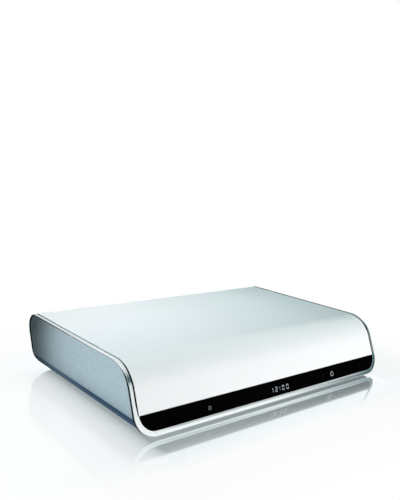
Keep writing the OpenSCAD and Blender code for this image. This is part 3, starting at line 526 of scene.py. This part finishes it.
# Painted highlights on the key's edges, one on each side of the symbol
EDGE_OFF = -1.6 * MM
EDGE_X = 8.4 * MM
EDGE_W = 0.3 * MM
EDGE_H = 3.2 * MM
edges = [bar(x - EDGE_W / 2, -EDGE_H / 2, x + EDGE_W / 2, EDGE_H / 2) for x in (-EDGE_X, EDGE_X)]
front_print("key_edges", edges, KEY_X + EDGE_OFF, KEY_MARK_S, "key_edge", "key")

MARK_S = 7.4 * MM
RING_OFF = 1.6 * MM
RING_R = 1 * MM
RING_LINE = 0.34 * MM
RING_STEPS = 24
ring_halves = [arc_band(RING_R, RING_LINE, start, start + 180, RING_STEPS) for start in (0, 180)]
front_print("sensor_mark", ring_halves, middle_x("ir_sensor") + RING_OFF, MARK_S, "dim_print", "receiver")

DIGIT_W = 2 * MM
DIGIT_H = 3.3 * MM
DIGIT_LINE = 0.42 * MM
DIGIT_PITCH = 4.1 * MM
COLON_ROOM = 2.2 * MM
COLON_DOT = 1.2 * DIGIT_LINE
COLON_S = DIGIT_H / 5
SEGMENT_NICK = 0.6 * DIGIT_LINE
SEGMENTS = {"0": "abcdef", "1": "bc", "2": "abged"}


def digit(name, x, y):
    """Seven-segment figure with its lower left corner at (x, y)."""
    half = DIGIT_LINE / 2
    middle = DIGIT_H / 2
    nick = SEGMENT_NICK
    across = {"a": DIGIT_H - half, "g": middle, "d": half}
    upright = {"f": (half, middle), "b": (DIGIT_W - half, middle), "e": (half, 0), "c": (DIGIT_W - half, 0)}
    outlines = []
    for segment in SEGMENTS[name]:
        if segment in across:
            cy = y + across[segment]
            x0, x1 = x + nick, x + DIGIT_W - nick
            outlines.append([(x0, cy), (x0 + half, cy - half), (x1 - half, cy - half), (x1, cy),
                             (x1 - half, cy + half), (x0 + half, cy + half)])
        else:
            cx, y0 = upright[segment]
            cx, y0 = x + cx, y + y0 + nick
            y1 = y0 + middle - 2 * nick
            outlines.append([(cx, y0), (cx + half, y0 + half), (cx + half, y1 - half), (cx, y1),
                             (cx - half, y1 - half), (cx - half, y0 + half)])
    return outlines


def clock_outlines():
    """Four figures with two dots between the pairs, round (0, 0)."""
    outlines = []
    space = DIGIT_PITCH - DIGIT_W
    half = COLON_DOT / 2
    x = -(4 * DIGIT_PITCH + COLON_ROOM) / 2 + space / 2
    for i, name in enumerate("1200"):
        outlines += digit(name, x, -DIGIT_H / 2)
        x += DIGIT_PITCH
        if i == 1:
            middle = x - space / 2 + COLON_ROOM / 2
            for cy in (-COLON_S, COLON_S):
                outlines.append(bar(middle - half, cy - half, middle + half, cy + half))
            x += COLON_ROOM
    return outlines


front_print("display_figures", clock_outlines(), middle_x("display_module"), MARK_S, "legend_print",
            "receiver")


# Dark pieces that paint the shade in the gaps beside the rim, a grey bead and lips beside the rim, and the
# rounded upper edge of the side walls. Places across are from the middle of the case, and depths go inwards
# from its outline.

GROOVE = 0.2 * MM
NECK_W = 1.6 * MM
STEP_W = 1.3 * MM
STEP_LOW = 0.5 * MM
RIM_EASE = 0.3 * MM
PIECE_EASE = 0.02 * MM
SHADE_FOOT = 1.8 * MM
COVER_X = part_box("top_cover")[1].x
RIM_X = COVER_X + GROOVE
STEP_X = RIM_X + STEP_W
TUB_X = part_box("base_tub")[1].x
NECK_X = HALF_W - NECK_W
GAP_TOP = 0.9 * MM
GAP_LOW = 1.5 * MM


def step_section(outer, top):
    """Dark piece that paints the shade in the groove beside the cover and on the step of the rim, up to depth
    top and out to outer.
    """
    inner, wall, low = COVER_X + PIECE_EASE, RIM_X - PIECE_EASE, STEP_LOW - PIECE_EASE
    return [(inner, top), (outer, top), (outer, low), (wall, low), (wall, SHADE_FOOT), (inner, SHADE_FOOT)]


def gap_section(outer, lap, low):
    """Dark piece that paints the shade in the gap under the rim, down to depth low. It laps over the side
    wall to outer, down to lap, as painted shade on the wall's upper edge.
    """
    inner, top, wall = NECK_X + PIECE_EASE, GAP_TOP + PIECE_EASE, TUB_X + PIECE_EASE
    return [(inner, top), (outer, top), (outer, lap), (wall, lap), (wall, low), (inner, low)]


def edge_section(top):
    """Upper edge of the side wall, which closes the gap under the rim up to depth top."""
    inner, low = NECK_X + PIECE_EASE, GAP_LOW - PIECE_EASE
    return [(inner, top), (TUB_X, top), (TUB_X, low), (inner, low)]


def bead_section(outer, top):
    """Bead on the step of the rim, from the window out to outer and up to depth top."""
    inner, low = COVER_X + PIECE_EASE, STEP_LOW - PIECE_EASE
    return [(inner, top), (outer, top), (outer, low), (RIM_X + PIECE_EASE, low), (inner, low)]


LIP_ROUND = 0.27


def lip_section(inner, top):
    """Strip on the step of the rim, from inner to the rounded edge, which it follows down from depth top."""
    wall, low, turn = STEP_X - PIECE_EASE, STEP_LOW - PIECE_EASE, LIP_ROUND * RIM_EASE
    return [(inner, top), (STEP_X + RIM_EASE - top, top), (STEP_X + turn, top + turn),
            (wall, max(top, RIM_EASE)), (wall, low), (inner, low)]


def sunk_lip_section(inner):
    """The same strip where it lies low on the step."""
    wall, low, ease = STEP_X - PIECE_EASE, STEP_LOW - PIECE_EASE, PIECE_EASE
    return [(inner, low - 2 * ease), (wall - 2 * ease, low - 2 * ease), (wall - ease, low - 1.5 * ease),
            (wall, low - ease), (wall, low), (inner, low)]


BEAD_W = 0.82 * MM
BEAD_TOP = 0.08 * MM
LIP_TOP = -0.01 * MM
bead = bead_section(RIM_X + BEAD_W - PIECE_EASE, BEAD_TOP)
lip = lip_section(RIM_X + BEAD_W, LIP_TOP)
# The bead's grey is painted shade and reflection of the rim's step, painted lighter at its left end and
# darker at its right end
swept("window_bead", bottom_path(), bead, bead, RIGHT, "bead_grey")
swept("rim_lip", bottom_path(), lip, lip, RIGHT, "trim_chrome")

# The left dark gap piece is narrower at its front end, and lies lower on the top than the right one; on faces
# that turn up it is painted lighter, as painted light from the left
COVER_SHADE_S = 13.6 * MM
COVER_SHADE_Z = 32.5 * MM
SHADE_TOP = 0.1 * MM
LEFT_SHADE_TOP = 0.42 * MM
LEFT_X = RIM_X + 0.95 * MM
LEFT_END_X = RIM_X + 0.45 * MM
LEFT_TOP_X = RIM_X + 0.8 * MM
RIGHT_X = STEP_X - PIECE_EASE
cover_path = side_path(COVER_SHADE_S, COVER_SHADE_Z)
swept("rim_lip_left", cover_path, lip_section(LEFT_X + PIECE_EASE, 0),
      sunk_lip_section(LEFT_TOP_X + PIECE_EASE), LEFT, "trim_chrome",
      first=lip_section(LEFT_END_X + PIECE_EASE, 0))
swept("cover_gap_shade_left", cover_path, step_section(LEFT_X, SHADE_TOP),
      step_section(LEFT_TOP_X, LEFT_SHADE_TOP), LEFT, "gap_shade_lit",
      first=step_section(LEFT_END_X, SHADE_TOP))
swept("cover_gap_shade_right", cover_path, step_section(RIGHT_X, SHADE_TOP),
      step_section(RIGHT_X, -SHADE_TOP), RIGHT, "gap_shade_black")

# Dark pieces that paint the shade in the gaps under the rim on both sides, and the rounded upper edges of the
# side walls
SIDE_PIECES_Z = 14.5 * MM
SIDE_SHADE_CORNER = 66
SIDE_SHADE_IN = 0.05 * MM
SIDE_SHADE_LAP = 2.05 * MM
SIDE_SHADE_LOW = 1.44 * MM
SIDE_SHADE_TOP_LAP = 1.35 * MM
SIDE_SHADE_TOP_LOW = 1.12 * MM
upright_gap = gap_section(HALF_W - SIDE_SHADE_IN, SIDE_SHADE_LAP, SIDE_SHADE_LOW)
level_gap = gap_section(TUB_X + 2 * PIECE_EASE, SIDE_SHADE_TOP_LAP, SIDE_SHADE_TOP_LOW)
upright_edge = edge_section(SIDE_SHADE_LOW + PIECE_EASE)
level_edge = edge_section(SIDE_SHADE_TOP_LOW + PIECE_EASE)
for side, word in ((LEFT, "left"), (RIGHT, "right")):
    swept("side_gap_shade_" + word, side_path(CORNER_R, SIDE_PIECES_Z, SIDE_SHADE_CORNER), upright_gap, level_gap,
          side, "gap_shade_black")
    swept("wall_edge_" + word, side_path(CORNER_R, SIDE_PIECES_Z), upright_edge, level_edge, side,
          "tub_silver")


# Floor and background, in metres

def pale_ray(tree):
    """1 for a ray that sees the background: from the camera, a mirror or through glass."""
    ray = tree.nodes.new("ShaderNodeLightPath").outputs
    mirror_or_glass = math_step(tree, "MAXIMUM", ray["Is Glossy Ray"], ray["Is Transmission Ray"])
    return math_step(tree, "MAXIMUM", ray["Is Camera Ray"], mirror_or_glass)


# Half the width and half the depth that the object covers on the floor
FOOTPRINT = (0.102, 0.07, 0)


def footprint_distance(tree):
    """Distance on the floor from the object's footprint: the length, and its shares along x and y."""
    place = tree.nodes.new("ShaderNodeTexCoord")
    vector = place.outputs["Object"]
    for operation, other in (("ABSOLUTE", None), ("SUBTRACT", FOOTPRINT), ("MAXIMUM", (0, 0, 0))):
        step = tree.nodes.new("ShaderNodeVectorMath")
        step.operation = operation
        tree.links.new(vector, step.inputs[0])
        if other:
            step.inputs[1].default_value = other
        vector = step.outputs["Vector"]
    length = tree.nodes.new("ShaderNodeVectorMath")
    length.operation = "LENGTH"
    tree.links.new(vector, length.inputs[0])
    split = tree.nodes.new("ShaderNodeSeparateXYZ")
    tree.links.new(vector, split.inputs["Vector"])
    return length.outputs["Value"], split.outputs["X"], split.outputs["Y"]


FLOOR_REACH = 6
FLOOR_COLOUR = (0.9, 0.9, 0.9, 1)
FLOOR_SEEN_BY_LIGHT = (0.25, 0.26, 0.27, 1)
FLOOR_ROUGH = 0.08
SHADOW_REACH = 0.11
SHADOW_SHARE = 0.14
MIRROR = 0.665
MIRROR_SLOPE = 1
MIRROR_FRONT = (0.012, 0.042)
MIRROR_MIDDLE = (-0.01, 0.01)
LEFT_FALL = 0.006
RIGHT_FALL = 0.0025
MIRROR_TINT = (0.78, 0.95, 1)
LEFT_TINT = (0.72, 0.97, 1)
LEFT_EDGE = (-0.095, -0.115)


def mirror_strength(tree, place_x, away_x, away_y):
    """Strength of the reflection: it grows to the right, and falls off beside and in front of the object."""
    fall = fade(tree, place_x, *MIRROR_MIDDLE, 1 / LEFT_FALL, 1 / RIGHT_FALL)
    beside = math_step(tree, "DIVIDE", 1, math_step(tree, "MULTIPLY_ADD", away_x, fall, 1))
    along = math_step(tree, "MULTIPLY_ADD", place_x, MIRROR_SLOPE, MIRROR)
    before = math_step(tree, "MULTIPLY", along, fade(tree, away_y, *MIRROR_FRONT, 1, 0))
    return math_step(tree, "MULTIPLY", before, beside)


def floor_material():
    """White to the camera, with a soft shadow and a faint reflection by the object, and dull to the lamps."""
    material, tree, output = new_material("floor")
    glow = tree.nodes.new("ShaderNodeEmission")
    shade = tree.nodes.new("ShaderNodeBsdfDiffuse")
    shade.inputs["Color"].default_value = FLOOR_COLOUR
    dull = tree.nodes.new("ShaderNodeBsdfDiffuse")
    dull.inputs["Color"].default_value = FLOOR_SEEN_BY_LIGHT
    gloss = tree.nodes.new("ShaderNodeBsdfGlossy")
    gloss.inputs["Color"].default_value = (1, 1, 1, 1)
    gloss.inputs["Roughness"].default_value = FLOOR_ROUGH
    away, away_x, away_y = footprint_distance(tree)
    place_x = axes(tree, "Object")["X"]
    shadow = fade(tree, away, 0, SHADOW_REACH, SHADOW_SHARE, 0)
    mirror = mirror_strength(tree, place_x, away_x, away_y)
    # The glow is tinted where the reflection is strong, bluer at the left edge: a painted tint of the
    # reflection
    tint = mix_colours(tree, fade(tree, place_x, *LEFT_EDGE), MIRROR_TINT, LEFT_TINT)
    tree.links.new(mix_colours(tree, mirror, (1, 1, 1), tint), glow.inputs["Color"])
    base = mix_shaders(tree, shadow, glow.outputs["Emission"], shade.outputs["BSDF"])
    seen = mix_shaders(tree, mirror, base, gloss.outputs["BSDF"])
    surface = mix_shaders(tree, pale_ray(tree), dull.outputs["BSDF"], seen)
    tree.links.new(surface, output.inputs["Surface"])
    return material


def make_floor():
    mesh = bpy.data.meshes.new("floor")
    far = FLOOR_REACH
    mesh.from_pydata([(-far, -far, 0), (far, -far, 0), (far, far, 0), (-far, far, 0)], [], [(0, 1, 2, 3)])
    mesh.materials.append(floor_material())
    floor = bpy.data.objects.new("floor", mesh)
    scene.collection.objects.link(floor)


make_floor()

# Parts of the room that the polished rim mirrors: limits of the direction from the object
UNLIT = (0.04, 0.11, 0.12)
UNLIT_RIGHT = (("X", 0.68, 0.79), ("Y", 0.1, -0.2))
UNLIT_ABOVE = (("X", 0.7, 0.58), ("Y", -0.1, -0.3), ("Z", 0.48, 0.66), ("Z", 0.9, 0.74))
DIM = (0.76, 0.81, 0.815)
DIM_FRONT = (("Y", 0, -0.1), ("Z", 0.17, 0.24))
FILL_COLOUR = (0.6, 0.94, 1, 1)
FILL_STRENGTH = 0.09


def mirrored_share(tree, limits):
    """1 for a mirrored ray whose direction lies within the limits."""
    place = axes(tree, "Generated")
    share = tree.nodes.new("ShaderNodeLightPath").outputs["Is Glossy Ray"]
    for axis, start, stop in limits:
        share = math_step(tree, "MULTIPLY", share, fade(tree, place[axis], start, stop))
    return share


def room_colour(tree):
    """White, and for a mirrored ray the dim part of the room in front and the unlit parts right and above."""
    colour = mix_colours(tree, mirrored_share(tree, DIM_FRONT), (1, 1, 1), DIM)
    for limits in (UNLIT_RIGHT, UNLIT_ABOVE):
        colour = mix_colours(tree, mirrored_share(tree, limits), colour, UNLIT)
    return colour


def make_world():
    world = bpy.data.worlds.new("studio")
    scene.world = world
    world.use_nodes = True
    tree = world.node_tree
    tree.nodes.clear()
    output = tree.nodes.new("ShaderNodeOutputWorld")
    fill = tree.nodes.new("ShaderNodeBackground")
    fill.inputs["Color"].default_value = FILL_COLOUR
    fill.inputs["Strength"].default_value = FILL_STRENGTH
    white = tree.nodes.new("ShaderNodeBackground")
    white.inputs["Strength"].default_value = 1
    tree.links.new(room_colour(tree), white.inputs["Color"])
    surface = mix_shaders(tree, pale_ray(tree), fill.outputs["Background"], white.outputs["Background"])
    tree.links.new(surface, output.inputs["Surface"])


make_world()


# Lamps: places, targets and sizes in metres, cones in degrees, power in watts

SPOT_RADIUS = 0.02


def add_lamp(name, data, place, target, power, colour):
    data.energy = power
    data.color = colour
    lamp = bpy.data.objects.new(name, data)
    scene.collection.objects.link(lamp)
    lamp.location = place
    lamp.rotation_mode = "QUATERNION"
    lamp.rotation_quaternion = (Vector(target) - Vector(place)).to_track_quat("-Z", "Y")
    lamp.visible_camera = False
    lamp.visible_glossy = False


def area_light(name, place, target, size, power, colour=(1, 1, 1)):
    data = bpy.data.lights.new(name, "AREA")
    data.shape = "RECTANGLE"
    data.size, data.size_y = size
    add_lamp(name, data, place, target, power, colour)


def spot_light(name, place, target, cone, blend, power, colour=(1, 1, 1)):
    data = bpy.data.lights.new(name, "SPOT")
    data.spot_size = math.radians(cone)
    data.spot_blend = blend
    data.shadow_soft_size = SPOT_RADIUS
    add_lamp(name, data, place, target, power, colour)


area_light("key_light", (0.25, -0.9, 0.04), (0.02, -0.06, 0.02), size=(0.3, 0.1), power=10.3,
           colour=(1, 0.945, 0.935))
spot_light("top_light", (0.08, 0.28, 0.55), (-0.06, 0.03, 0.041), cone=40, blend=1, power=3.1)
spot_light("rear_light", (0.05, 0.5, 0.48), (-0.07, 0.03, 0.041), cone=36, blend=1, power=7.2,
           colour=(1, 0.84, 0.84))
spot_light("left_light", (-0.11, 0.5, 0.42), (-0.12, 0.045, 0.041), cone=26, blend=1, power=4.8,
           colour=(1, 0.8, 0.86))
area_light("high_light", (0.25, 0.3, 0.6), (0.05, 0.02, 0.041), size=(0.2, 0.2), power=1.5,
           colour=(0.66, 1, 1))
spot_light("side_light", (-0.68, -0.02, 0.13), (-0.11, -0.034, 0.02), cone=18.8, blend=0.65, power=10,
           colour=(0.84, 0.945, 1))
spot_light("edge_light", (-0.68, -0.03, 0.16), (-0.11, -0.055, 0.065), cone=23, blend=1, power=4,
           colour=(0.84, 0.945, 1))
area_light("back_light", (0.25, 0.9, 0.03), (0, 0.07, 0.02), size=(0.6, 0.04), power=3)

scene.view_settings.view_transform = "Standard"
